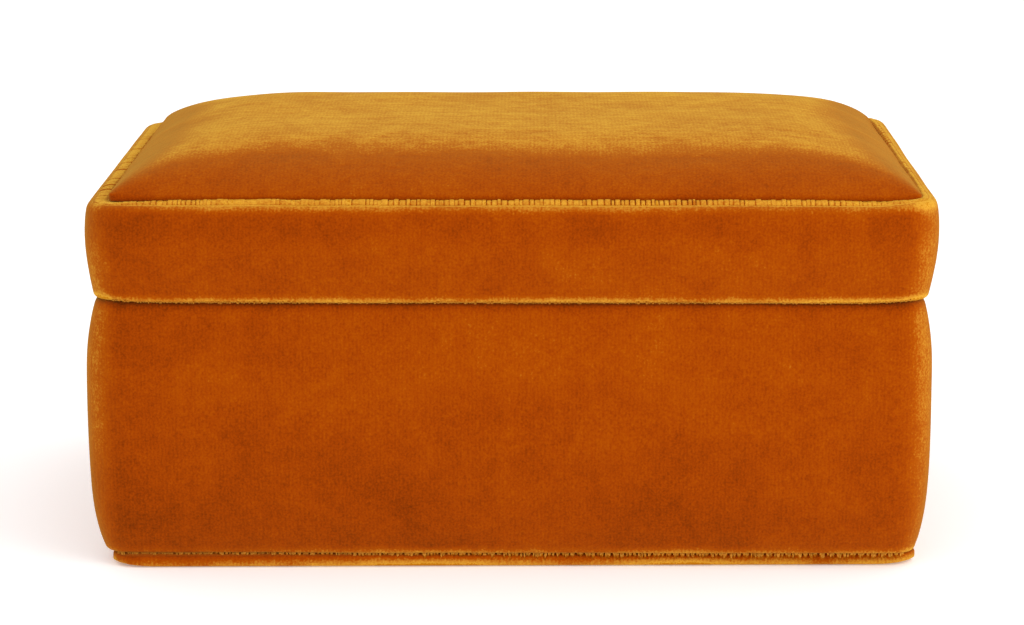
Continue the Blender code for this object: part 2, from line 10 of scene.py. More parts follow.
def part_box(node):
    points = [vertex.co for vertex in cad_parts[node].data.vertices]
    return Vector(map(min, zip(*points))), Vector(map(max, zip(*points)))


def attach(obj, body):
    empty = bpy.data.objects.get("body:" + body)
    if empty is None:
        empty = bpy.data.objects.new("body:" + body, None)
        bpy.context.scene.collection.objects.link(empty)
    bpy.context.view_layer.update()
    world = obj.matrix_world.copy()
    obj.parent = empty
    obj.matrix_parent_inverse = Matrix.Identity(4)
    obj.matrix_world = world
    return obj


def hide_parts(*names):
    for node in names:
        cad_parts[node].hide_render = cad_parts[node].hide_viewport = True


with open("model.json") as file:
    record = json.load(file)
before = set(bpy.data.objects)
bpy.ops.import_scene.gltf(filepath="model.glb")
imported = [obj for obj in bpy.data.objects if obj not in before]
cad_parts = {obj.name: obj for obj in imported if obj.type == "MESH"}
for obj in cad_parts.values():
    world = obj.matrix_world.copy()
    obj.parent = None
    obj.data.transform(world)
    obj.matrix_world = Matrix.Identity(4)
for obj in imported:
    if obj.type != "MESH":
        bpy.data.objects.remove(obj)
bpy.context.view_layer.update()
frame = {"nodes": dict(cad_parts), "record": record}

# Boards of the carcass and the lid
# The base, the walls, the lid's top and its rails are sawn from fibreboard, sanded and glued.
# Velvet and lining hide them, apart from their edges in the pockets of the hinges.

MM = 0.001
SIDES = ("front", "back", "left", "right")
BOARDS = ["base_board", "lid_board"]
BOARDS += [f"{side}_board" for side in SIDES] + [f"lid_{side}_rail" for side in SIDES]
MDF_BROWNS = ((0.55, "8A6A44"), (0.95, "BE9D70"))
MDF_FLECK = 0.5 * MM
MDF_PATCH = 18 * MM


def colour(hex_value):
    """Turns an sRGB hex colour into the linear one that a shader takes."""
    channels = [int(hex_value[at : at + 2], 16) / 255 for at in (0, 2, 4)]
    bright = [c / 12.92 if c <= 0.04045 else ((c + 0.055) / 1.055) ** 2.4 for c in channels]
    return (*bright, 1.0)


def connect(node, inputs):
    """Gives a node's sockets their values, or links them: a node stands for its first output."""
    for socket, value in inputs.items():
        if isinstance(value, bpy.types.Node):
            value = value.outputs[0]
        if isinstance(value, bpy.types.NodeSocket):
            node.id_data.links.new(value, node.inputs[socket])
        else:
            node.inputs[socket].default_value = value


def add(material, kind, inputs={}, stops=(), **settings):
    """Adds a node with its inputs, its settings, and a ramp's (place, hex colour) stops."""
    made = material.node_tree.nodes.new("ShaderNode" + kind)
    for name, value in settings.items():
        setattr(made, name, value)
    connect(made, inputs)
    for at, (place, shade) in enumerate(stops):
        ramp = made.color_ramp.elements
        element = ramp[at] if at < 2 else ramp.new(1.0)
        element.position = place
        element.color = colour(shade)
    return made


def new_material(name):
    """A material, its shader, and its piece's own place in metres for patterns of a real size."""
    material = bpy.data.materials.new(name)
    material.use_nodes = True
    material.node_tree.nodes.clear()
    shader = add(material, "BsdfPrincipled")
    add(material, "OutputMaterial", {"Surface": shader})
    return material, shader, add(material, "TexCoord").outputs["Object"]


def surface(material, shader, tone, stops, relief, strength, depth, values):
    """Gives a shader its colours by one pattern, its relief by another, and its other values."""
    colours = add(material, "ValToRGB", {"Fac": tone}, stops)
    bump = add(material, "Bump", {"Height": relief, "Strength": strength, "Distance": depth})
    connect(shader, {"Base Color": colours, "Normal": bump, **values})


def put_on_nodes(material, names):
    """Gives CAD nodes a material in place of their plain one."""
    for name in names:
        for slot in frame["nodes"][name].material_slots:
            slot.material = material


# Medium-density fibreboard: matt and brown, with fine darker flecks of fibre and slow patches
mdf, shader, place = new_material("fibreboard")
flecks = add(mdf, "TexNoise", {"Vector": place, "Scale": 1 / MDF_FLECK, "Detail": 4})
patches = add(mdf, "TexNoise", {"Vector": place, "Scale": 1 / MDF_PATCH})
grain = add(mdf, "Math", {0: flecks, 1: 0.6, 2: patches}, operation="MULTIPLY_ADD")
surface(mdf, shader, grain, MDF_BROWNS, flecks, 0.4, 0.1 * MM, {"Roughness": 0.8})
put_on_nodes(mdf, BOARDS)

# Wadding round the walls and round the lid's edge
# Strips of matted polyester, about 4 mm thick, are glued round the boards under the velvet.
# They give the walls their soft bulge.

WIDTH = 200 * MM
DEPTH = 130 * MM
CORNER_RADIUS = 9 * MM
SMALLEST_RADIUS = 0.4 * MM
PARTING = 64.6 * MM
BODY_FULLEST = 48 * MM
BODY_TUCK = 3.2 * MM
BODY_PINCH = 2.7 * MM
LID_FULLEST = 14.4 * MM
LID_PINCH = 1.9 * MM
LID_SHOULDER = 1.0 * MM
TUCK_CURVE = 6
PINCH_CURVE = 2
BAND_CURVE = 1.6
BODY_LOW, BODY_TOP = (corner.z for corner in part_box("body_velvet"))
BAND_LOW, BAND_TOP = (corner.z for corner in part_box("lid_band_velvet"))
WADDING_DEPTH = 2.3 * MM
WADDING_EDGE = 1.0 * MM
WADDING_THICKNESS = 4.4 * MM
WADDING_WAVES = (0.1 * MM, 9 * MM, 4)  # how high and long its unevenness is, and a seed
CELL = 4 * MM
CORNER_STEPS = 4
EDGE_STEPS = 3
EDGE_ROWS = (1.2 * MM, 2.8 * MM)  # rows beside a rounded edge lie closer, which keeps it crisp
BOARD_INSET = 7 * MM
BODY_LEAN = 0.4 * MM  # the body's padding is thicker at its left end than at its right
LID_EASE = 1.0 * MM  # and the lid's stands out at the right end, most towards the back
LID_EASE_RISE = 10 * MM
LID_EASE_MIDDLE = 0.65  # the share of it halfway from front to back
LID_EASE_MORE = 0.7  # and how much more it is at the back than at the front
WADDING_WHITES = ((0.35, "D2CBBB"), (0.6, "F1ECE0"))
STRAND = 2.5 * MM


def within(share):
    """Keeps a share between 0 and 1."""
    return min(1.0, max(0.0, share))


def body_inset(height):
    """How far the padded body lies inside its fullest outline at a height."""
    if height < BODY_FULLEST:
        return BODY_TUCK * ((BODY_FULLEST - height) / (BODY_FULLEST - BODY_LOW)) ** TUCK_CURVE
    return BODY_PINCH * ((height - BODY_FULLEST) / (BODY_TOP - BODY_FULLEST)) ** PINCH_CURVE


def band_inset(height):
    """The same for the band round the lid."""
    above = height - BAND_LOW
    if above < LID_FULLEST:
        return LID_PINCH * (1 - max(above, 0) / LID_FULLEST) ** BAND_CURVE
    shoulder = BAND_TOP - BAND_LOW - LID_FULLEST
    return LID_SHOULDER * ((above - LID_FULLEST) / shoulder) ** PINCH_CURVE


def outline(half_x, half_y, radius):
    """Points round a rectangle with rounded corners, always as many, so that loops join up."""
    points = []
    side_cells = round((WIDTH - 2 * CORNER_RADIUS) / CELL)
    end_cells = round((DEPTH - 2 * CORNER_RADIUS) / CELL)
    for turn, (to_x, to_y) in enumerate(((1, 1), (-1, 1), (-1, -1), (1, -1))):
        middle = Vector((to_x * (half_x - radius), to_y * (half_y - radius)))
        for step in range(CORNER_STEPS + 1):
            angle = pi / 2 * (turn + step / CORNER_STEPS)
            points.append(middle + radius * Vector((cos(angle), sin(angle))))
        start = points[-1]
        cells = end_cells if turn % 2 else side_cells
        end = Vector((start.x, -start.y)) if turn % 2 else Vector((-start.x, start.y))
        points += [start.lerp(end, step / cells) for step in range(1, cells)]
    return points


def box_loop(inset, height):
    """The box's outline at a depth into the wall, at one height."""
    radius = max(CORNER_RADIUS - inset, SMALLEST_RADIUS)
    points = outline(WIDTH / 2 - inset, DEPTH / 2 - inset, radius)
    return [Vector((*point, height)) for point in points]


def padded_wall(inset_at, low, high, radii, inward=0.0):
    """A padded wall with rounded edges, from its underside to its top, as (inset, height)."""
    points = []
    for edge, up, radius in ((low, 1, radii[0]), (high, -1, radii[1])):
        centre = inset_at(edge + up * radius) + inward + radius
        curve = []
        for step in range(EDGE_STEPS + 1):
            angle = pi / 2 * step / EDGE_STEPS
            depth = centre - radius * sin(angle)
            curve.append((depth, edge + up * radius * (1 - cos(angle))))
        points.append(curve)
    near, far = EDGE_ROWS
    first = low + radii[0] + far
    last = high - radii[1] - far
    cells = round((last - first) / CELL)
    heights = [low + radii[0] + near]
    heights += [first + (last - first) * step / cells for step in range(cells + 1)]
    heights += [high - radii[1] - near]
    wall = [(inset_at(height) + inward, height) for height in heights]
    return points[0] + wall + points[1][::-1]


def face_outwards(mesh):
    """Turns all faces of a mesh to point out."""
    shape = bmesh.new()
    shape.from_mesh(mesh)
    bmesh.ops.recalc_face_normals(shape, faces=shape.faces)
    shape.to_mesh(mesh)
    shape.free()


def put_in_scene(name, data):
    """A new object in the scene, at the origin."""
    made = bpy.data.objects.new(name, data)
    bpy.context.scene.collection.objects.link(made)
    return made


def make_piece(name, points, faces):
    """A mesh object at the origin, smooth, with its faces pointing out."""
    mesh = bpy.data.meshes.new(name)
    mesh.from_pydata(points, [], faces)
    face_outwards(mesh)
    mesh.shade_smooth()
    return put_in_scene(name, mesh)


def ring_of(name, section):
    """A closed ring round the box from its section, given as (inset, height) points."""
    loops = [box_loop(inset, height) for inset, height in section]
    around = len(loops[0])
    faces = []
    for low in range(len(loops)):
        high = (low + 1) % len(loops)
        for at in range(around):
            beside = (at + 1) % around
            corners = (low, at), (low, beside), (high, beside), (high, at)
            faces.append([loop * around + point for loop, point in corners])
    return make_piece(name, [point for loop in loops for point in loop], faces)


def undulate(piece, rise, size, seed):
    """Moves a piece's skin in and out by slow, smooth noise, as hand-laid padding does."""
    shift = Vector((seed, 2 * seed, 3 * seed))
    points = piece.data.vertices
    moves = [point.normal * rise * noise.noise(point.co / size + shift) for point in points]
    for point, move in zip(points, moves):
        point.co += move


def lean_padding(piece, body):
    """Shifts what lies outside the end boards a little, as uneven padding does."""
    for point in piece.data.vertices:
        share = min(1.0, (abs(point.co.x) - WIDTH / 2 + BOARD_INSET) / BOARD_INSET)
        if share > 0 and body == "box":
            point.co.x -= share * BODY_LEAN
        elif share > 0 and point.co.x > 0:
            high = within((point.co.z - PARTING) / LID_EASE_RISE)
            towards_back = LID_EASE_MIDDLE + LID_EASE_MORE * point.co.y / DEPTH
            point.co.x += share * high * LID_EASE * towards_back


def bake_shape(piece):
    """Applies a piece's modifiers."""
    graph = bpy.context.evaluated_depsgraph_get()
    shaped = bpy.data.meshes.new_from_object(piece.evaluated_get(graph))
    piece.modifiers.clear()
    piece.data = shaped
    shaped.shade_smooth()


def subdivide(piece):
    """Rounds a piece by one subdivision."""
    piece.modifiers.new("rounding", "SUBSURF")
    bake_shape(piece)


def finish_piece(piece, material, body, slot, *replaced):
    """Gives a piece its material and its body, and hides the CAD nodes that it stands for. slot is
    not used.
    """
    piece.data.materials.clear()
    piece.data.materials.append(material)
    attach(piece, body)
    if replaced:
        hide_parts(*replaced)


# Polyester wadding: off-white and matt, a felt of crossing strands with soft hollows
wadding, shader, place = new_material("polyester wadding")
strands = add(
    wadding, "TexNoise", {"Vector": place, "Scale": 1 / STRAND, "Detail": 6, "Distortion": 2.5}
)
matt = {"Roughness": 1.0, "Specular IOR Level": 0.2}
fluffy = {"Sheen Weight": 0.4, "Sheen Roughness": 0.5}
surface(wadding, shader, strands, WADDING_WHITES, strands, 0.8, 0.5 * MM, {**matt, **fluffy})

for node, inset_at, body in (
    ("body_wadding", body_inset, "box"),
    ("lid_wadding", band_inset, "lid"),
):
    low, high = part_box(node)
    edges = (WADDING_EDGE, WADDING_EDGE)
    section = padded_wall(inset_at, low.z, high.z, edges, WADDING_DEPTH)
    inner = WIDTH / 2 - high.x + WADDING_THICKNESS
    section += [(inner, high.z), (inner, low.z)]
    strip = ring_of(f"{node}_felt", section)
    lean_padding(strip, body)
    undulate(strip, *WADDING_WAVES)
    finish_piece(strip, wadding, body, "wadding", node)

# Velvet round the body
# One strip of cotton velvet goes round the four walls. It is hemmed in over the rim, behind the
# lining, and turned in under the base. Its edges are raw, and its pile stands about 2 mm high.

HINGE_AXIS = Vector(frame["record"]["behaviour"]["joints"][0]["pos_m"])
CLOTH_THICKNESS = 0.8 * MM
PILE_THICKNESS = 2.0 * MM
BODY_EDGES = (1.2 * MM, 1.8 * MM)
HEM_INNER = 14.1 * MM
HEM_OUTER = 13.3 * MM
HEM_DEPTH = 10 * MM
FLANGE_INNER = 18 * MM
POCKET_DEPTH = 1.15 * MM
POCKET_OVERCUT = 1.0 * MM  # a cutter passes the edge that it opens by this much
HINGE_ROOM = 0.3 * MM
BARREL_ROOM = 0.4 * MM
HELD_FOOT = 4 * MM  # the cloth is glued down this far up from its foot, and down from its rim
HELD_RIM = 3 * MM
SWELL_PRESSURE = 4.0
SWELL_FRAMES = 20
SWELL_EVENING = 6
WALL_SWELL = 0.6 * MM
WALL_WAVES = (0.15 * MM, 22 * MM, 7)

# The pile's colours: its darkest and its gold first, then those that lie between them
PILE_ENDS = ((0.05, "621E00"), (1.0, "D89C30"))
PILE_RUSTS = ((0.25, "862F00"), (0.4, "993900"), (0.58, "A64800"), (0.8, "BC740C"))
PILE_SHEEN = "B4AF50"
GRAIN = 0.45 * MM
WAVE_LENGTH = pi / 10  # a wave pattern of scale 1 repeats after this length
WALE = 0.9 * MM  # the rows of tufts lie 0.45 mm apart, drawn at twice that so that they show
TUFT = 0.9 * MM  # and so are the tufts themselves
LAY = 16 * MM  # patches where the pile leans one way
RUB = 3 * MM  # smaller marks left by a finger
STREAK_LONG = 9 * MM
STREAK_WIDE = 1.6 * MM
# A thread's colours: in the shade and at its tip, then at its root and its middle
THREAD_GOLDS = ((0.15, "8A4206"), (1.0, "DC9C3C"), (0.45, "AC5E08"), (0.75, "C07010"))
THREAD_FINE = 0.25 * MM
FOOT = 3.1 * MM
FOOT_TUFT = (0.95 * MM, 2.3 * MM, 0.22 * MM)  # clump, length and thread of its tufts
LEFT_SHADE_FROM = 40 * MM  # left of here the velvet is painted darker, a painted shade on the end away from the lights
LEFT_SHADE_RUN = 50 * MM
LEFT_PAINTED_SHADE = 0.13
SPLAY_INWARD = 9 * MM  # the pile splays on the outside only, not on what faces down or is hidden
SPLAY_FADE = 4 * MM
SPLAY_SHORT = 7 * MM  # it varies over short lengths and over long ones
SPLAY_LONG = 35 * MM
CORNER_SPLAY_AND_SHEEN = 0.42  # painted sheen: the velvet is painted lighter round the upright corners, where the pile also opens as it bends


def from_sides(place):
    """How far in a place lies from the box's nearer end, and from its front or back."""
    return WIDTH / 2 - abs(place.x), DEPTH / 2 - abs(place.y)


def held_points(piece, inset_at, low, high):
    """The points that glue holds: all but those on the outside of a padded wall."""
    held = []
    for point in piece.data.vertices:
        deep = min(from_sides(point.co)) - inset_at(point.co.z)
        beyond_corner = max(from_sides(point.co)) < CORNER_RADIUS
        on_wall = deep < CLOTH_THICKNESS or (beyond_corner and deep < CORNER_RADIUS / 2)
        if not on_wall or not low < point.co.z < high:
            held.append(point.index)
    return held


def swell(piece, held, cap):
    """Blows a piece up as cloth between its glued points. Moves are capped and evened out."""
    group = piece.vertex_groups.new(name="glued")
    group.add(held, 1.0, "REPLACE")
    cloth = piece.modifiers.new("cloth", "CLOTH")
    cloth.settings.quality = 6
    cloth.settings.mass = 0.02
    cloth.settings.bending_stiffness = 0.4
    cloth.settings.use_pressure = True
    cloth.settings.uniform_pressure_force = SWELL_PRESSURE
    cloth.settings.effector_weights.gravity = 0
    cloth.settings.vertex_group_mass = "glued"
    scene = bpy.context.scene
    for moment in range(1, SWELL_FRAMES + 1):
        scene.frame_set(moment)
    graph = bpy.context.evaluated_depsgraph_get()
    blown = [point.co.copy() for point in piece.evaluated_get(graph).data.vertices]
    piece.modifiers.remove(cloth)
    moves = []
    for point, place in zip(piece.data.vertices, blown):
        move = place - point.co
        moves.append(move * min(1.0, cap / max(move.length, 1e-9)))
    for _ in range(SWELL_EVENING):
        totals = [move.copy() for move in moves]
        counts = [1] * len(moves)
        for edge in piece.data.edges:
            for here, there in (edge.vertices, reversed(edge.vertices)):
                totals[here] += moves[there]
                counts[here] += 1
        moves = [total / count for total, count in zip(totals, counts)]
        for point in held:
            moves[point] = Vector()
    for point, move in zip(piece.data.vertices, moves):
        point.co += move
    scene.frame_set(1)


def cut_hinge_pockets(piece, leaves, up):
    """Cuts the pockets that take a row of hinge leaves out of a piece, and room for the barrels."""
    for leaf in leaves:
        low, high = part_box(leaf)
        barrel = high.y - HINGE_AXIS.y + BARREL_ROOM
        depth = POCKET_DEPTH + HINGE_ROOM
        size = Vector((high.x - low.x + 2 * HINGE_ROOM, 2 * barrel + high.y - low.y, depth))
        middle = Vector(((low.x + high.x) / 2, low.y - HINGE_ROOM + size.y / 2, HINGE_AXIS.z))
        middle.z += up * (depth / 2 - POCKET_OVERCUT)
        size.z += 2 * POCKET_OVERCUT
        block = Matrix.Translation(middle) @ Matrix.Diagonal((*size, 1))
        pocket = bmesh.new()
        bmesh.ops.create_cube(pocket, size=1, matrix=block)
        turn = Matrix.Translation((middle.x, *HINGE_AXIS.yz)) @ Matrix.Rotation(pi / 2, 4, "Y")
        room = bmesh.new()
        round_bar = {"radius1": barrel, "radius2": barrel, "depth": size.x, "segments": 32}
        bmesh.ops.create_cone(room, cap_ends=True, matrix=turn, **round_bar)
        cutters = []
        for shape in (pocket, room):
            mesh = bpy.data.meshes.new("cutter")
            shape.to_mesh(mesh)
            shape.free()
            cutter = put_in_scene("cutter", mesh)
            modifier = piece.modifiers.new("cut", "BOOLEAN")
            modifier.object = cutter
            modifier.solver = "EXACT"
            cutters.append(cutter)
        bake_shape(piece)
        for cutter in cutters:
            bpy.data.objects.remove(cutter)


def velvet_strip(name, inset_at, low, high, edges, closed_up):
    """Velvet round four walls as a closed solid: hemmed in at one edge, turned in at the other.

    closed_up is 1 where the turned-in edge is the upper one, as on the lid, and -1 below."""
    outer = padded_wall(inset_at, low, high, edges)
    inner_edges = [max(edge - CLOTH_THICKNESS, SMALLEST_RADIUS) for edge in edges]
    inner = padded_wall(
        inset_at, low + CLOTH_THICKNESS, high - CLOTH_THICKNESS, inner_edges, PILE_THICKNESS
    )
    open_edge, closed_edge = (low, high) if closed_up > 0 else (high, low)
    cloth = CLOTH_THICKNESS * closed_up
    deep = HEM_DEPTH * closed_up
    rim = [((outer[-1][0] + HEM_INNER) / 2, open_edge)]
    hem = [(HEM_INNER, open_edge + along) for along in (0, deep / 2, deep)]
    hem += [(HEM_OUTER, open_edge + along) for along in (deep, deep / 2, cloth)]
    middle = (FLANGE_INNER + outer[0][0]) / 2
    flange = [
        (middle, closed_edge - cloth),
        (FLANGE_INNER, closed_edge - cloth),
        (FLANGE_INNER, closed_edge),
        (middle, closed_edge),
    ]
    if closed_up > 0:
        outer, inner = outer[::-1], inner[::-1]
    return ring_of(name, outer + rim + hem + inner[::-1] + flange)


def mark_points(piece, name, marks):
    """Keeps a value for each point of a piece, for its material to read."""
    attribute = piece.data.attributes.new(name, "FLOAT", "POINT")
    attribute.data.foreach_set("value", marks)


def round_corner(place):
    """How far round an upright corner a place lies: 0 where the walls are straight, 1 halfway."""
    over_x, over_y = (CORNER_RADIUS - inset for inset in from_sides(place))
    if min(over_x, over_y) <= 0:
        return 0.0
    return sin(2 * atan2(over_y, over_x)) ** 2


def splay_and_shade_edges(piece, edges):
    """Marks where the pile splays at folded edges, given as (height, reach, strength).

    Where the strength is below zero the mark is painted shade instead, darker. The upright corners
    also get a painted sheen, and the left end a painted shade."""
    marks = []
    for point in piece.data.vertices:
        uneven = 0.9 + 0.25 * noise.noise(point.co / SPLAY_SHORT)
        uneven += 0.6 * noise.noise(point.co / SPLAY_LONG)
        # painted sheen round the upright corners
        mark = CORNER_SPLAY_AND_SHEEN * round_corner(point.co)
        for at, reach, strength in edges:
            near = max(0.0, 1 - abs(point.co.z - at) / reach)
            mark += near * near * (3 - 2 * near) * strength
        outside = within((SPLAY_INWARD - min(from_sides(point.co))) / SPLAY_FADE)
        # painted shade: the velvet's left end is painted darker, as the lights stand to the right
        brushing_and_left_shade = within((-point.co.x - LEFT_SHADE_FROM) / LEFT_SHADE_RUN)
        marks.append(mark * uneven * outside - LEFT_PAINTED_SHADE * brushing_and_left_shade)
    mark_points(piece, "splay_and_painted_light", marks)


def tuft_row(name, loop, size, lean, pale, seed, stands_at):
    """A row of tufts round a loop, each a clump of cut threads that fan out to a rounded tip.

    size is (clump, length, thread), lean how far they point outwards and up, and pale how light
    their tips are. stands_at tells where there are any. What is drawn are shares of these sizes,
    so that no two clumps or threads are alike."""
    clump, length, width = size
    draw = random.Random(seed)
    points, faces, shares = [], [], []

    def thread(root, way, across, tall, light):
        """A three-sided thread, from a little under its root to its point."""
        first = len(points)
        # the value runs from 0 at the root, painted shade deep in the pile, to the thread's
        # lightness at its tip
        for part in (-0.2, 0.6):
            for corner in range(3):
                angle = tau * corner / 3
                round_it = cos(angle) * across + sin(angle) * across.cross(way)
                points.append(root + way * tall * part + round_it * width / 2)
                shares.append(light * max(part, 0.0))
        points.append(root + way * tall + across * width * draw.uniform(-0.3, 0.3))
        shares.append(light)
        faces.append((first, first + 2, first + 1))
        for corner in range(3):
            low = first + corner
            beside = first + (corner + 1) % 3
            faces.append((low, beside, beside + 3, low + 3))
            faces.append((low + 3, beside + 3, first + 6))

    walked = 0.0
    for start, end in zip(loop, loop[1:] + loop[:1]):
        run = (end - start).length
        ahead = (end - start).normalized()
        outward = Vector((ahead.y, -ahead.x, 0))
        way = (outward * lean[0] + Vector((0, 0, lean[1]))).normalized()
        while walked < run:
            middle = start.lerp(end, walked / run)
            middle += outward * draw.uniform(-0.12, 0.12) * length
            wide = clump * draw.uniform(0.5, 1.4)
            walked += wide
            if not stands_at(middle):
                continue
            tall = length * draw.uniform(0.65, 1.1)
            tip = ahead * draw.uniform(-0.2, 0.2) + outward * draw.uniform(-0.15, 0.15)
            count = max(2, round(wide / width))
            for at in range(count):
                side = 2 * (at + 0.5) / count - 1
                root = middle + ahead * side * 0.42 * wide
                fan = (way + tip - ahead * side * 0.06).normalized()
                across = fan.cross(outward).normalized()
                root += outward * draw.uniform(-0.5, 0.5) * width
                rounded_off = (1 - 0.28 * side * side) * draw.uniform(0.88, 1.08)
                thread(root, fan, across, tall * rounded_off, pale * draw.uniform(0.7, 1.0))
        walked -= run
    row = make_piece(name, points, faces)
    mark_points(row, "along_thread", shares)
    return row


def beside_corners(place):
    """Tufts stand along straight edges only: round a corner the pile is pulled flat."""
    from_end, from_front = from_sides(place)
    return from_end > 0.75 * CORNER_RADIUS or from_front > 2 * CORNER_RADIUS


# Cotton velvet: a dense upright pile, dyed rust. Light that skims its flanks comes back gold, so
# what is seen on edge turns gold. Streaks and patches of leaning pile make it lighter or darker,
# and a painted sheen lifts the colour of its tops towards gold.
velvet, shader, place = new_material("cotton velvet")
tilt = add(velvet, "SeparateXYZ", {"Vector": add(velvet, "TexCoord").outputs["Normal"]})
sideways = add(velvet, "Math", {0: tilt.outputs["X"]}, operation="ABSOLUTE")
on_end = add(velvet, "MapRange", {"Value": sideways, "From Min": 0.4, "From Max": 0.95})
# Painted sheen: faces that point up are painted lighter, towards gold, as a top seen on edge shines
painted_sheen_on_top = add(velvet, "MapRange", {"Value": tilt.outputs["Z"], "From Min": 0.93, "From Max": 0.98})
wales = [
    add(
        velvet,
        "TexWave",
        {"Vector": place, "Scale": WAVE_LENGTH / WALE, "Distortion": 2.5, "Detail": 2},
        bands_direction=across,
    )
    for across in "XY"
]
rows = add(
    velvet,
    "Mix",
    {0: on_end, 2: wales[0].outputs["Fac"], 3: wales[1].outputs["Fac"]},
    data_type="FLOAT",
)
tufts = add(velvet, "TexVoronoi", {"Vector": place, "Scale": 1 / TUFT})
lay = add(
    velvet,
    "TexNoise",
    {"Vector": place, "Scale": 1 / LAY, "Detail": 3, "Roughness": 0.55, "Distortion": 0.6},
)
rub = add(velvet, "TexNoise", {"Vector": place, "Scale": 1 / RUB, "Detail": 3, "Roughness": 0.6})
along = add(
    velvet,
    "VectorMath",
    {0: place, 1: (1 / STREAK_LONG, 1 / STREAK_WIDE, 1 / STREAK_WIDE)},
    operation="MULTIPLY",
)
brushing_and_left_shade = add(velvet, "TexNoise", {"Vector": along, "Scale": 1, "Detail": 3, "Roughness": 0.6})
# Streaks of brushed pile on the top, which also lift its colour there as painted sheen
streaks_and_top_sheen = add(velvet, "Math", {0: brushing_and_left_shade, 1: painted_sheen_on_top}, operation="MULTIPLY")


def layered(material, layers):
    """Adds up patterns, each times its share."""
    total = 0.0
    for pattern, share in layers:
        total = add(material, "Math", {0: pattern, 1: share, 2: total}, operation="MULTIPLY_ADD")
    return total


grain = add(velvet, "TexNoise", {"Vector": place, "Scale": 1 / GRAIN, "Detail": 1})
splay_and_painted_light = add(velvet, "Attribute", attribute_name="splay_and_painted_light").outputs["Fac"]
height = layered(velvet, ((rows, 0.012), (tufts, -0.04), (lay, 0.4), (rub, 0.1), (streaks_and_top_sheen, 0.12)))
pattern = (rows, 0.04), (tufts, -0.1), (lay, 0.33), (rub, 0.22), (grain, 0.42), (streaks_and_top_sheen, 0.3)
# The velvet's tone: its own patterns, its splayed edges, and painted sheen and painted shade
tone_with_painted_light = layered(velvet, (*pattern, (painted_sheen_on_top, 0.1), (splay_and_painted_light, 0.5)))
sheen = {"Sheen Weight": 0.6, "Sheen Roughness": 0.52, "Sheen Tint": colour(PILE_SHEEN)}
pile = {"Roughness": 0.9, "Specular IOR Level": 0.0, **sheen}
surface(velvet, shader, tone_with_painted_light, PILE_ENDS + PILE_RUSTS, height, 1.0, MM, pile)

# Cut threads: the ends of velvet's tufts and of its ground weave, frayed and pale at their tips,
# with painted shade at their roots deep in the pile
threads, shader, place = new_material("cut velvet threads")
length = add(threads, "Attribute", attribute_name="along_thread").outputs["Fac"]
upright = add(
    threads,
    "VectorMath",
    {0: place, 1: (1 / THREAD_FINE, 1 / THREAD_FINE, 0.2 / THREAD_FINE)},
    operation="MULTIPLY",
)
fraying = add(threads, "TexNoise", {"Vector": upright, "Scale": 1, "Detail": 2})
tip_light_root_shade = add(threads, "Math", {0: fraying, 1: 0.5, 2: length}, operation="MULTIPLY_ADD")
golds = add(threads, "ValToRGB", {"Fac": tip_light_root_shade}, THREAD_GOLDS)
connect(shader, {"Base Color": golds, "Roughness": 0.9, "Specular IOR Level": 0.0})

body_cloth = velvet_strip("body_velvet_wrap", body_inset, FOOT, BODY_TOP, BODY_EDGES, -1)
held = held_points(body_cloth, body_inset, BODY_LOW + HELD_FOOT, BODY_TOP - HELD_RIM)
swell(body_cloth, held, WALL_SWELL)
subdivide(body_cloth)
lean_padding(body_cloth, "box")
undulate(body_cloth, *WALL_WAVES)
cut_hinge_pockets(body_cloth, ("left_hinge_lower_leaf", "right_hinge_lower_leaf"), -1)
# Gold where the pile splays at the foot, painted shade darker towards the foot, and a painted
# shadow under the lid's lip along the rim
splay_and_shade_edges(
    body_cloth, ((FOOT, 2.6 * MM, 0.75), (FOOT + 4 * MM, 45 * MM, -0.22), (BODY_TOP, 3 * MM, -0.4))
)
finish_piece(body_cloth, velvet, "box", "cotton_velvet", "body_velvet")
foot = box_loop(body_inset(FOOT) + 0.4 * MM, FOOT + 0.7 * MM)
foot_tufts = tuft_row(
    "body_foot_tufts", foot, FOOT_TUFT, lean=(0.1, -1), pale=1.5, seed=3, stands_at=beside_corners
)
lean_padding(foot_tufts, "box")
finish_piece(foot_tufts, threads, "box", "cotton_velvet")

# Panel under the base
# A greyboard panel is covered with velvet, turned in over its top, and glued under the base to hide
# the wrap's raw edge. The box stands on it.

BOTTOM_CORNER = 5.4 * MM
BOTTOM_EDGE = 1.3 * MM
BOTTOM_SQUARENESS = 0.5
BOTTOM_ROLL = 2.7 * MM
ROLL_STEPS = 8
BOTTOM_TURN_IN = (4 * MM, 8 * MM, 11 * MM)
BOTTOM_FORWARD = 0.5 * MM  # its front edge stands out a little, and most at the left
BOTTOM_SKEW = 0.0157
BOTTOM_RISE = 1.0 * MM  # its underside curves up towards its corners
BOTTOM_RISE_REACH = 8 * MM
SMALL_CELL = 3 * MM
GREYBOARD_GREYS = ((0.35, "7C7568"), (0.65, "A39B8B"))


def spread(half, fine=()):
    """Grid lines across a panel, fine steps in from both edges and even cells between them."""
    steps = [0.0, *fine]
    left = half - steps[-1]
    cells = max(1, round(left / SMALL_CELL))
    steps += [steps[-1] + left * cell / cells for cell in range(1, cells + 1)]
    return [step - half for step in steps] + [half - step for step in steps[-2::-1]]


def rounded(x, y, half_x, half_y, corner, inset):
    """Moves a point of a square-cornered panel to where it lies with round corners, drawn in."""
    radius = max(corner - inset, SMALLEST_RADIUS)
    over = [(abs(at) - half + corner) / corner for at, half in ((x, half_x), (y, half_y))]
    moved = []
    for at, half, here, beside in ((x, half_x, *over), (y, half_y, *over[::-1])):
        far = half - inset - radius
        if here > 0:
            far += radius * here * sqrt(1 - max(0.0, beside) ** 2 / 2)
        else:
            far *= abs(at) / (half - corner)
        moved.append(copysign(far, at))
    return moved


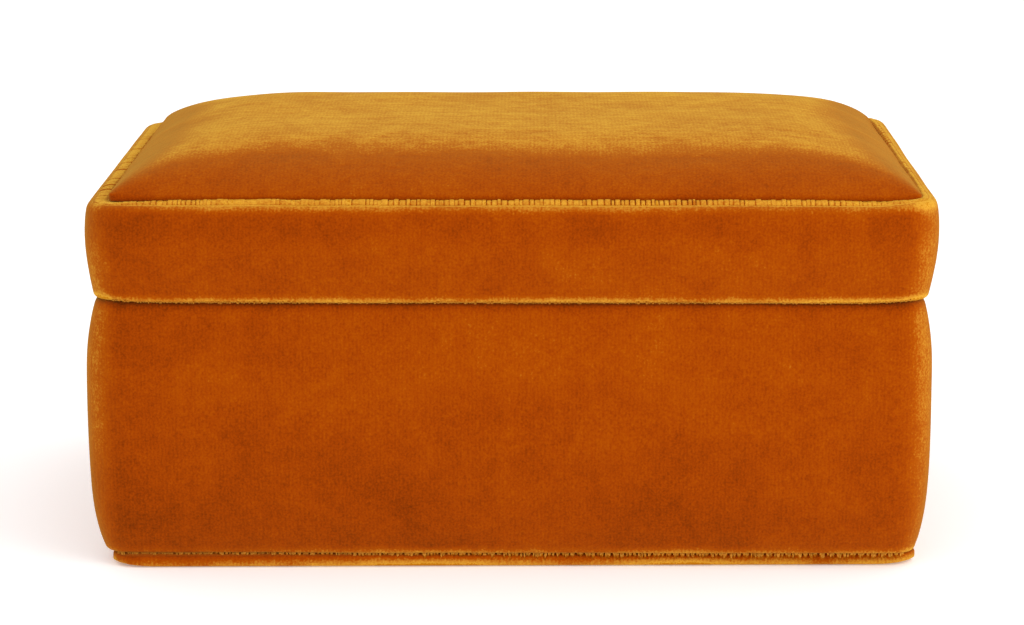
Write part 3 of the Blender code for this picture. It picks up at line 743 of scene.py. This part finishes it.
def panel(name, half_x, half_y, corner, lines, face, skirt, back=None):
    """A panel: a gridded face, a skirt of (inset, height) loops round it, and a flat back.

    lines are the grid lines along X and Y, and face gives the face's height at a point. Without
    a back the panel is an open skin."""
    xs, ys = lines
    points, faces = [], []

    def lay_grid(height_at, inset):
        start = len(points)
        for y in ys:
            for x in xs:
                place = rounded(x, y, half_x, half_y, corner, inset)
                points.append((*place, height_at(*place)))
        for row in range(len(ys) - 1):
            for at in range(len(xs) - 1):
                low = start + row * len(xs) + at
                faces.append((low, low + 1, low + 1 + len(xs), low + len(xs)))
        return start

    start = lay_grid(face, 0.0)
    last_x, last_y = len(xs) - 1, len(ys) - 1
    rim = [(at, 0) for at in range(last_x)] + [(last_x, at) for at in range(last_y)]
    rim += [(at, last_y) for at in range(last_x, 0, -1)] + [(0, at) for at in range(last_y, 0, -1)]
    loops = [[start + row * len(xs) + at for at, row in rim]]
    for inset, height in skirt:
        loops.append(range(len(points), len(points) + len(rim)))
        for at, row in rim:
            points.append((*rounded(xs[at], ys[row], half_x, half_y, corner, inset), height))
    if back is not None:
        start = lay_grid(lambda x, y: back, skirt[-1][0] if skirt else 0.0)
        loops.append([start + row * len(xs) + at for at, row in rim])
    for low, high in zip(loops, loops[1:]):
        for at in range(len(rim)):
            beside = (at + 1) % len(rim)
            faces.append((low[at], low[beside], high[beside], high[at]))
    return make_piece(name, points, faces)


def thicken(piece, thickness):
    """Gives an open skin its thickness, inwards."""
    shell = piece.modifiers.new("cloth thickness", "SOLIDIFY")
    shell.thickness = thickness
    shell.offset = -1
    bake_shape(piece)


# Greyboard: pressed waste paper, matt and grey-brown, with specks of fibre
greyboard, shader, place = new_material("greyboard")
pulp = add(greyboard, "TexNoise", {"Vector": place, "Scale": 1 / MM, "Detail": 5})
surface(greyboard, shader, pulp, GREYBOARD_GREYS, pulp, 0.3, 0.1 * MM, {"Roughness": 0.9})
put_on_nodes(greyboard, ("bottom_card", "pad_card"))

low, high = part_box("bottom_velvet")
half_x = high.x - BOTTOM_EDGE
half_y = high.y - BOTTOM_EDGE
skirt = []
for step in range(1, ROLL_STEPS):
    angle = pi * step / ROLL_STEPS
    out = BOTTOM_EDGE * sin(angle) ** BOTTOM_SQUARENESS
    rise = copysign(abs(cos(angle)) ** BOTTOM_SQUARENESS, -cos(angle))
    skirt.append((-out, (BOTTOM_ROLL + rise * BOTTOM_ROLL) / 2))
skirt += [(0.3 * MM, BOTTOM_ROLL + 0.2 * MM), (1.5 * MM, high.z - 0.2 * MM)]
skirt += [(depth, high.z) for depth in BOTTOM_TURN_IN]
lines = spread(half_x), spread(half_y)
corner = BOTTOM_CORNER - BOTTOM_EDGE
bottom_cloth = panel("bottom_velvet_cover", half_x, half_y, corner, lines, lambda x, y: 0.0, skirt)
for point in bottom_cloth.data.vertices:
    x, y = point.co.xy
    towards_front = 0.5 - y / (2 * high.y)
    point.co.x -= towards_front * BOTTOM_SKEW * y
    point.co.y += towards_front * (BOTTOM_SKEW * x - BOTTOM_FORWARD)
    from_corner = hypot(high.x - abs(x), high.y - abs(y))
    near = max(0.0, 1 - from_corner / BOTTOM_RISE_REACH)
    point.co.z += BOTTOM_RISE * near * max(0.0, 1 - point.co.z / BOTTOM_ROLL)
thicken(bottom_cloth, CLOTH_THICKNESS)
# Gold where the pile splays at the panel's lower edge, and painted shade at its top, in the seam
# under the wrap
splay_and_shade_edges(bottom_cloth, ((0, 2.8 * MM, 1.0), (3 * MM, 1.6 * MM, -0.15)))
finish_piece(bottom_cloth, velvet, "box", "cotton_velvet", "bottom_velvet")

# Lining of the compartment and the lid
# Cards are covered with cotton sateen over a skin of wadding, pressed in and glued to the boards.
# They hide the velvet's hems.

LINER_EDGE = 0.5 * MM
LINER_PUFF = 0.35 * MM
LINER_SOFT = 12 * MM  # how far in from its edges a card is still rounded by its padding
LINER_FINE = (0.8 * MM, 2 * MM, 4 * MM)
LINER_WAVES = (0.12 * MM, 14 * MM, 11)
SATEEN_GOLDS = ((0.2, "B07E34"), (0.9, "CC9A4A"))
SATEEN_THREAD = 0.5 * MM  # its threads lie 0.2 mm apart, and are drawn coarser so that they show
SATEEN_SLUB = 6 * MM  # thicker stretches of a thread


def lining_card(node, body, material):
    """Replaces a flat lining card by a softly padded one of the same size."""
    low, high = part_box(node)
    middle = (low + high) / 2
    size = high - low
    thin = min(range(3), key=lambda axis: size[axis])
    wide, tall = [axis for axis in range(3) if axis != thin]
    half_x = size[wide] / 2 - LINER_EDGE
    half_y = size[tall] / 2 - LINER_EDGE
    thick = size[thin] / 2
    into_room = -1 if middle[thin] > (PARTING / 2 if thin == 2 else 0) else 1

    def puffed(x, y):
        near_x = min(1.0, (half_x - abs(x)) / LINER_SOFT)
        near_y = min(1.0, (half_y - abs(y)) / LINER_SOFT)
        soft = sin(near_x * pi / 2) * sin(near_y * pi / 2)
        return thick + LINER_PUFF * soft

    skirt = [
        (-LINER_EDGE * sin(pi / 4), thick - LINER_EDGE * (1 - cos(pi / 4))),
        (-LINER_EDGE, thick - LINER_EDGE),
        (-LINER_EDGE, -thick + LINER_EDGE),
        (0, -thick),
    ]
    lines = spread(half_x, LINER_FINE), spread(half_y, LINER_FINE)
    card = panel(f"{node}_cloth", half_x, half_y, SMALLEST_RADIUS, lines, puffed, skirt, -thick)
    columns = [Vector(), Vector(), Vector()]
    columns[wide][0] = 1
    columns[tall][1] = 1
    columns[thin][2] = into_room
    card.data.transform(Matrix.Translation(middle) @ Matrix(columns).to_4x4())
    face_outwards(card.data)
    undulate(card, *LINER_WAVES)
    finish_piece(card, material, body, "cotton_sateen", node)


# Cotton sateen: a close, smooth weave with a soft shine along its threads
sateen, shader, place = new_material("cotton sateen")
floats = add(
    sateen,
    "TexWave",
    {"Vector": place, "Scale": WAVE_LENGTH / SATEEN_THREAD, "Distortion": 1.2, "Detail": 2},
    bands_direction="DIAGONAL",
)
slubs = add(
    sateen, "TexNoise", {"Vector": place, "Scale": 1 / SATEEN_SLUB, "Detail": 5, "Roughness": 0.6}
)
woven = add(sateen, "Math", {0: floats.outputs["Fac"], 1: 0.15, 2: slubs}, operation="MULTIPLY_ADD")
sheen = {"Sheen Weight": 0.4, "Sheen Roughness": 0.4, "Sheen Tint": colour(PILE_SHEEN)}
smooth = {"Roughness": 0.5, "Specular IOR Level": 0.4, **sheen}
surface(sateen, shader, woven, SATEEN_GOLDS, woven, 0.5, 0.2 * MM, smooth)

lining_card("floor_liner", "box", sateen)
lining_card("lid_ceiling_liner", "lid", sateen)
for side in SIDES:
    lining_card(f"{side}_liner", "box", sateen)
    lining_card(f"lid_{side}_liner", "lid", sateen)

# Hinges
# Two small butt hinges of rolled brass strip, let into the back edges and screwed to the boards.
# Their leaves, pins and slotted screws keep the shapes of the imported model.

SCREWS = [f"{place}_{leaf}_screw" for place in ("outer", "inner") for leaf in ("lower", "upper")]
HINGE_PARTS = [
    f"{side}_{part}"
    for side in ("left", "right")
    for part in ("hinge_lower_leaf", "hinge_upper_leaf", "hinge_pin", *SCREWS)
]
BRASS_YELLOWS = ((0.35, "B48A48"), (0.6, "E3C27A"))
BRASS_GRAIN = 0.3 * MM
BRASS_TARNISH = 3 * MM

# Brass: a yellow metal, tumbled rather than polished, a little browned where hands don't reach
brass, shader, place = new_material("tumbled brass")
tarnish = add(
    brass, "TexNoise", {"Vector": place, "Scale": 1 / BRASS_TARNISH, "Detail": 6, "Roughness": 0.6}
)
rolling = add(
    brass,
    "VectorMath",
    {0: place, 1: (0.08 / BRASS_GRAIN, 1 / BRASS_GRAIN, 1 / BRASS_GRAIN)},
    operation="MULTIPLY",
)
scratches = add(brass, "TexNoise", {"Vector": rolling, "Scale": 1, "Detail": 3})
dullness = add(
    brass,
    "MapRange",
    {"Value": tarnish, "From Min": 0.3, "From Max": 0.7, "To Min": 0.45, "To Max": 0.22},
)
metal = {"Metallic": 1.0, "Roughness": dullness}
surface(brass, shader, tarnish, BRASS_YELLOWS, scratches, 0.3, 0.02 * MM, metal)
put_on_nodes(brass, HINGE_PARTS)

# Velvet round the lid's edge
# A second strip goes round the lid's rails. It is hemmed in under them, behind the lid's lining,
# and turned in over the lid's board, where the pad hides it.

BAND_EDGES = (0.8 * MM, 2.2 * MM)
BAND_HELD_LOW = 3 * MM
BAND_HELD_HIGH = 2 * MM
BAND_WAVES = (0.1 * MM, 18 * MM, 5)
RIM_TUFT = (0.7 * MM, 0.7 * MM, 0.18 * MM)
LIP_DROP = 0.5 * MM
LIP_DEPTH = 3.2 * MM
LIP_HEIGHT = 6 * MM
HINGED_EDGE = 8 * MM  # this close to the back the lip and its tufts are left out
CORNER_RISE = 1.3 * MM  # the lid's lower edge draws up a little at its corners
CORNER_RUN = 22 * MM
GATHER_OUT = 2.5 * MM  # where the roll at the pad's foot starts along the front and the back
GATHER_OUT_AT_ENDS = 2.2 * MM
GATHER_RISE = 1.3 * MM
GATHER_PITCH = 1.2 * MM  # along the front and the back, and wider along the ends
GATHER_STEPS = 8
GATHER_BENDS = 6
GATHER_SLANT = 0.9 * MM
GATHER_PATCH = 30 * MM  # over such lengths it is more gathered, or less
GATHER_CORNER = 28 * MM  # and this close to a corner it flattens out
GATHER_UNDER = 0.2 * MM
PAD_HALF_X = 94.9 * MM  # the pad's foot
PAD_HALF_Y = 59.5 * MM
PAD_ASIDE = 1.0 * MM  # the pad was glued on a little to the right
RIGHT_LIFT = 1.0 * MM  # the padding is a little thicker at the lid's right end
RIGHT_LIFT_REACH = 14 * MM
RIGHT_LIFT_BEHIND = 0.5 * MM  # and more so at its rear corner
RIGHT_LIFT_STEEP = 1.6
RIGHT_LIFT_FROM = 0.4  # as shares of the height of the lid's edge
RIGHT_LIFT_OVER = 0.5


def lift_right_end(piece):
    """Raises the lid's edge at its right end."""
    for point in piece.data.vertices:
        near = max(0.0, 1 - (WIDTH / 2 - point.co.x) / RIGHT_LIFT_REACH)
        high = max(0.0, (point.co.z - PARTING) / (BAND_TOP - PARTING) - RIGHT_LIFT_FROM)
        lift = RIGHT_LIFT + RIGHT_LIFT_BEHIND * max(0.0, 2 * point.co.y / DEPTH)
        lift *= min(1.0, RIGHT_LIFT_STEEP * near)
        point.co.z += lift * min(1.0, high / RIGHT_LIFT_OVER)


def shape_lip(piece):
    """Lets the lid's lower lip hang over the parting, and draws it up at the corners."""
    for point in piece.data.vertices:
        low = max(0.0, 1 - (point.co.z - BAND_LOW) / LIP_HEIGHT)
        inset = min(from_sides(point.co))
        if point.co.y > DEPTH / 2 - HINGED_EDGE or inset > LIP_DEPTH:
            continue
        outer = min(1.0, (LIP_DEPTH - inset) / MM)
        near = max(0.0, 1 - max(from_sides(point.co)) / CORNER_RUN)
        point.co.z += outer * low * (CORNER_RISE * near**2 - LIP_DROP)


def gathered_edge(name, loop, seed):
    """The roll of velvet at the pad's foot, gathered into small rounded folds by its glue.

    It fills the gap between the lid's edge and the pad. Here and there it lies smooth, and along
    the ends its folds are wider. It is low and smooth round the corners. What is drawn are shares
    of its sizes."""
    draw = random.Random(seed)
    legs = [end - start for start, end in zip(loop, loop[1:] + loop[:1])]

    def stand(distance):
        """A place on the loop, and the ways ahead and outwards there, turning evenly."""
        at = 0
        while distance > legs[at].length:
            distance -= legs[at].length
            at = (at + 1) % len(legs)
        share = distance / legs[at].length
        beside = (at - 1, at, (at + 1) % len(legs))
        before, here, after = (legs[leg].normalized() for leg in beside)
        ahead = ((before + here) * (1 - share) + (here + after) * share).normalized()
        return loop[at] + legs[at] * share, ahead, Vector((ahead.y, -ahead.x, 0))

    sections = []
    walked = 0.0
    whole = sum(leg.length for leg in legs)
    while walked < whole:
        edge, ahead, outward = stand(walked)
        at_end = abs(outward.x)
        off_corner = min(1.0, max(from_sides(edge)) / GATHER_CORNER)
        tall = draw.uniform(0.85, 1.1) * (0.25 + 0.75 * off_corner) * (1 - 0.25 * at_end)
        wide = GATHER_PITCH * (1 + 1.4 * at_end) * draw.uniform(0.6, 1.4)
        gathered = 0.55 - 1.6 * noise.noise(edge / GATHER_PATCH) + draw.uniform(-0.3, 0.3)
        notch = min(1.0, max(0.1, gathered)) * off_corner
        pale = draw.uniform(1.0, 1.4) * (1 - 0.5 * at_end)
        for step in range(GATHER_STEPS):
            across = 2 * step / GATHER_STEPS - 1
            full = 1 - notch * (1 - sqrt(max(0.0, 1 - across**4)))
            edge, ahead, outward = stand(walked + wide * (across + 1) / 2)
            at_end = abs(outward.x)
            out = GATHER_OUT + (GATHER_OUT_AT_ENDS - GATHER_OUT) * at_end
            gap_front = DEPTH / 2 - PAD_HALF_Y
            gap_end = WIDTH / 2 - PAD_HALF_X - copysign(PAD_ASIDE, outward.x)
            half = (gap_front + (gap_end - gap_front) * at_end + GATHER_UNDER - out) / 2
            reach = outward * half + ahead * GATHER_SLANT * at_end * off_corner
            sections.append((edge - outward * (out + half), reach, full, tall, pale))
        walked += wide
    points, faces, marks = [], [], []
    around = GATHER_BENDS + 1
    for at, reach, full, tall, pale in sections:
        for bend in range(around):
            angle = pi * bend / GATHER_BENDS
            rise = GATHER_RISE * tall * (0.55 + 0.45 * full) * sin(angle)
            side = reach * (0.88 + 0.12 * full) * cos(angle)
            points.append(at + side + Vector((0, 0, rise)))
            # the crests are lighter, and the notches between the folds are painted darker as shade
            marks.append(pale * (1.2 * full - 0.5))
    for first in range(len(sections)):
        low = first * around
        high = (first + 1) % len(sections) * around
        for bend in range(around):
            after = (bend + 1) % around
            faces.append((low + bend, high + bend, high + after, low + after))
    roll = make_piece(name, points, faces)
    mark_points(roll, "splay_and_painted_light", marks)
    return roll


band_cloth = velvet_strip("lid_band_wrap", band_inset, BAND_LOW, BAND_TOP, BAND_EDGES, 1)
low, high = BAND_LOW + BAND_HELD_LOW, BAND_TOP - BAND_HELD_HIGH
held = held_points(band_cloth, band_inset, low, high)
swell(band_cloth, held, WALL_SWELL / 2)
subdivide(band_cloth)
lean_padding(band_cloth, "lid")
undulate(band_cloth, *BAND_WAVES)
lift_right_end(band_cloth)
cut_hinge_pockets(band_cloth, ("left_hinge_upper_leaf", "right_hinge_upper_leaf"), 1)
# Gold where the pile splays at both edges, and painted shade a little below the rounded top edge
splay_and_shade_edges(
    band_cloth,
    ((BAND_LOW, 2.2 * MM, 0.9), (BAND_TOP - 5 * MM, 6 * MM, -0.12), (BAND_TOP, 2.4 * MM, 0.5)),
)
shape_lip(band_cloth)
finish_piece(band_cloth, velvet, "lid", "cotton_velvet", "lid_band_velvet")


def clear_of_hinges(place):
    """No tufts stand along the hinged edge either, where they would be crushed."""
    return place.y < DEPTH / 2 - HINGED_EDGE and beside_corners(place)


rim = box_loop(band_inset(BAND_LOW) + 0.1 * MM, BAND_LOW + 0.5 * MM)
rim_tufts = tuft_row(
    "lid_rim_tufts", rim, RIM_TUFT, lean=(0.5, -1), pale=1.0, seed=5, stands_at=clear_of_hinges
)
lean_padding(rim_tufts, "lid")
shape_lip(rim_tufts)
finish_piece(rim_tufts, threads, "lid", "cotton_velvet")
gathers = gathered_edge("pad_foot_gathers", box_loop(0.0, BAND_TOP - 0.3 * MM), 7)
lift_right_end(gathers)
finish_piece(gathers, velvet, "lid", "cotton_velvet")

# Pad on the lid
# A block of foam, cut to a crown, lies on a greyboard panel. Velvet is pulled over both, glued
# under the panel and drawn in at its foot, where it puckers. The pad is glued on the lid.

PAD_LOW, PAD_TOP = (corner.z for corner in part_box("pad_velvet"))
PAD_CORNER = 2.2 * MM
PAD_SHOULDER = 35 * MM
END_SLOPE = (2.9, 0.8)  # how soon a slope levels off, and how gently it starts at its foot
SIDE_SLOPE = (6.0, 0.88)
PAD_DRAW_IN = 0.5 * MM
PAD_LIP = 1.0 * MM
PAD_SINK = 0.5 * MM
PAD_SWELL = 0.6 * MM
PAD_STARTS_LOWER = 1.5 * MM  # because the crown is swelled afterwards
PAD_TURN_IN = (2 * MM, 5 * MM, 8 * MM, 11 * MM)
PAD_WAVES = (0.25 * MM, 24 * MM, 3)
CORNER_DROP = 0.9 * MM  # the rear left corner sinks by this
CORNER_REACH = 60 * MM
FOAM_YELLOWS = ((0.1, "C9B878"), (0.6, "E6DCA8"))
FOAM_CELL = 0.8 * MM
FOAM_EDGE = 0.6 * MM
FOAM_ROOM = 1.6 * MM
FOAM_WAVES = (0.2 * MM, 12 * MM, 9)


def slope(share, levels_off, steep):
    """Height of a stuffed slope, 0 to 1, at a share of the way in from its foot."""
    return max(0.0, 1 - (1 - min(1.0, share)) ** levels_off) ** steep


def crown(x, y, rise, sunk=0.0):
    """The pad's height at a point: it rises steeply from each edge and blends where they meet."""
    half_x = PAD_HALF_X - sunk
    half_y = PAD_HALF_Y - sunk
    end_rise = max(1e-4, slope((half_x - abs(x)) / PAD_SHOULDER, *END_SLOPE))
    side_rise = max(1e-4, slope((half_y - abs(y)) / half_y, *SIDE_SLOPE))
    share = (end_rise**-3 + side_rise**-3 - 1) ** (-1 / 3)
    return PAD_LOW + PAD_LIP + rise * share


def sink_corner(piece):
    """Lets the pad's rear left corner sink, where its foam is thinner."""
    for point in piece.data.vertices:
        away = point.co.xy - Vector((-WIDTH / 2, DEPTH / 2))
        near = max(0.0, 1 - away.length / CORNER_REACH)
        high = max(0.0, (point.co.z - BAND_TOP) / (PAD_TOP - BAND_TOP))
        raised = within(2.5 * high - 0.6)
        point.co.z -= CORNER_DROP * near**2 * (3 - 2 * near) * raised


# Grid lines lie closest at the pad's edges, where it bends most
fine_ends = [PAD_SHOULDER * (1 - cos(pi / 2 * step / 10)) for step in range(1, 6)]
fine_sides = [PAD_HALF_Y * (1 - cos(pi / 2 * step / 16)) for step in range(1, 7)]
lines = spread(PAD_HALF_X, fine_ends), spread(PAD_HALF_Y, fine_sides)
rise = PAD_TOP - PAD_LOW - PAD_LIP - PAD_STARTS_LOWER
skirt = [(PAD_DRAW_IN / 2, PAD_LOW - PAD_SINK), (PAD_DRAW_IN, PAD_LOW)]
skirt += [(PAD_DRAW_IN + depth, PAD_LOW) for depth in PAD_TURN_IN]
size = PAD_HALF_X, PAD_HALF_Y, PAD_CORNER
pad_cloth = panel("pad_velvet_cover", *size, lines, lambda x, y: crown(x, y, rise), skirt)
foot = PAD_LOW + PAD_LIP + 0.1 * MM
held = [point.index for point in pad_cloth.data.vertices if point.co.z < foot]
swell(pad_cloth, held, PAD_SWELL)
subdivide(pad_cloth)
undulate(pad_cloth, *PAD_WAVES)
sink_corner(pad_cloth)
pad_cloth.data.transform(Matrix.Translation((PAD_ASIDE, 0, 0)))
thicken(pad_cloth, CLOTH_THICKNESS)
finish_piece(pad_cloth, velvet, "lid", "cotton_velvet", "pad_velvet")

# Upholstery foam: pale yellow, matt, with open cells all through
foam, shader, place = new_material("upholstery foam")
cells = add(foam, "TexVoronoi", {"Vector": place, "Scale": 1 / FOAM_CELL})
surface(foam, shader, cells, FOAM_YELLOWS, cells, 0.8, 0.5 * MM, matt)

low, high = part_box("pad_foam")
high -= Vector((FOAM_ROOM, FOAM_ROOM, FOAM_ROOM))
sunk = PAD_HALF_X - high.x
foam_rise = high.z - PAD_LOW - PAD_LIP - PAD_STARTS_LOWER
lines = spread(high.x, fine_ends), spread(high.y, fine_sides)
foam_block = panel(
    "pad_foam_block",
    high.x,
    high.y,
    PAD_CORNER,
    lines,
    lambda x, y: max(crown(x, y, foam_rise, sunk), low.z + FOAM_EDGE),
    [(0, low.z + FOAM_EDGE / 2)],
    low.z,
)
subdivide(foam_block)
undulate(foam_block, *FOAM_WAVES)
finish_piece(foam_block, foam, "lid", "foam", "pad_foam")

# Studio
# A plain pale floor, a wide soft light overhead and a softer one beside the camera.

FLOOR_WHITE = "FCFCFB"
FLOOR_REACH = 6.0
FLOOR_DROP = 0.2 * MM  # it lies just clear of the box's foot
PAPER_TOOTH = MM / 0.9
SENSOR_WIDTH = 36  # of the camera, in millimetres, as its lens is
LENS = 107.3
CAMERA_PLACE = (0.0037, -0.757, 0.216)
CAMERA_DOWN = 12.5  # in degrees
CAMERA_TURN = 0.28


def area_light(name, size, power, place, aim):
    """A soft square light, pointed at a place."""
    light = bpy.data.lights.new(name, "AREA")
    light.shape = "SQUARE"
    light.size = size
    light.energy = power
    lamp = put_in_scene(name, light)
    lamp.location = place
    lamp.rotation_euler = (Vector(aim) - Vector(place)).to_track_quat("-Z", "Y").to_euler()


# Studio paper: matt and near white, with a faint tooth, lit a little from below
floor_paper, shader, place = new_material("studio paper")
tooth = add(floor_paper, "TexNoise", {"Vector": place, "Scale": 1 / PAPER_TOOTH, "Detail": 2})
bump = add(floor_paper, "Bump", {"Height": tooth, "Strength": 0.2, "Distance": 0.02 * MM})
white = colour(FLOOR_WHITE)
connect(shader, {"Base Color": white, "Emission Color": white, "Emission Strength": 0.2})
connect(shader, {"Roughness": 0.9, "Specular IOR Level": 0.1, "Normal": bump})
corners = [(x * FLOOR_REACH, y * FLOOR_REACH, 0) for x, y in ((-1, -1), (1, -1), (1, 1), (-1, 1))]
studio_floor = make_piece("studio_floor", corners, [(0, 1, 2, 3)])
studio_floor.location.z = -FLOOR_DROP
studio_floor.data.materials.append(floor_paper)

world = bpy.data.worlds.new("studio air")
world.use_nodes = True
connect(world.node_tree.nodes["Background"], {"Color": (1, 1, 1, 1), "Strength": 1.0})
bpy.context.scene.world = world
area_light("overhead", 2.4, 3, (0.2, 0.4, 1.8), (0, 0.3, 0))
area_light("beside_camera", 0.6, 3.3, (0.75, -0.6, 0.5), (0, 0, 0.05))

lens = bpy.data.cameras.new("camera")
lens.sensor_width = SENSOR_WIDTH
lens.lens = LENS
camera = put_in_scene("camera", lens)
camera.location = CAMERA_PLACE
camera.rotation_euler = (radians(90 - CAMERA_DOWN), 0, radians(CAMERA_TURN))
bpy.context.scene.camera = camera
bpy.context.scene.view_settings.view_transform = "Standard"
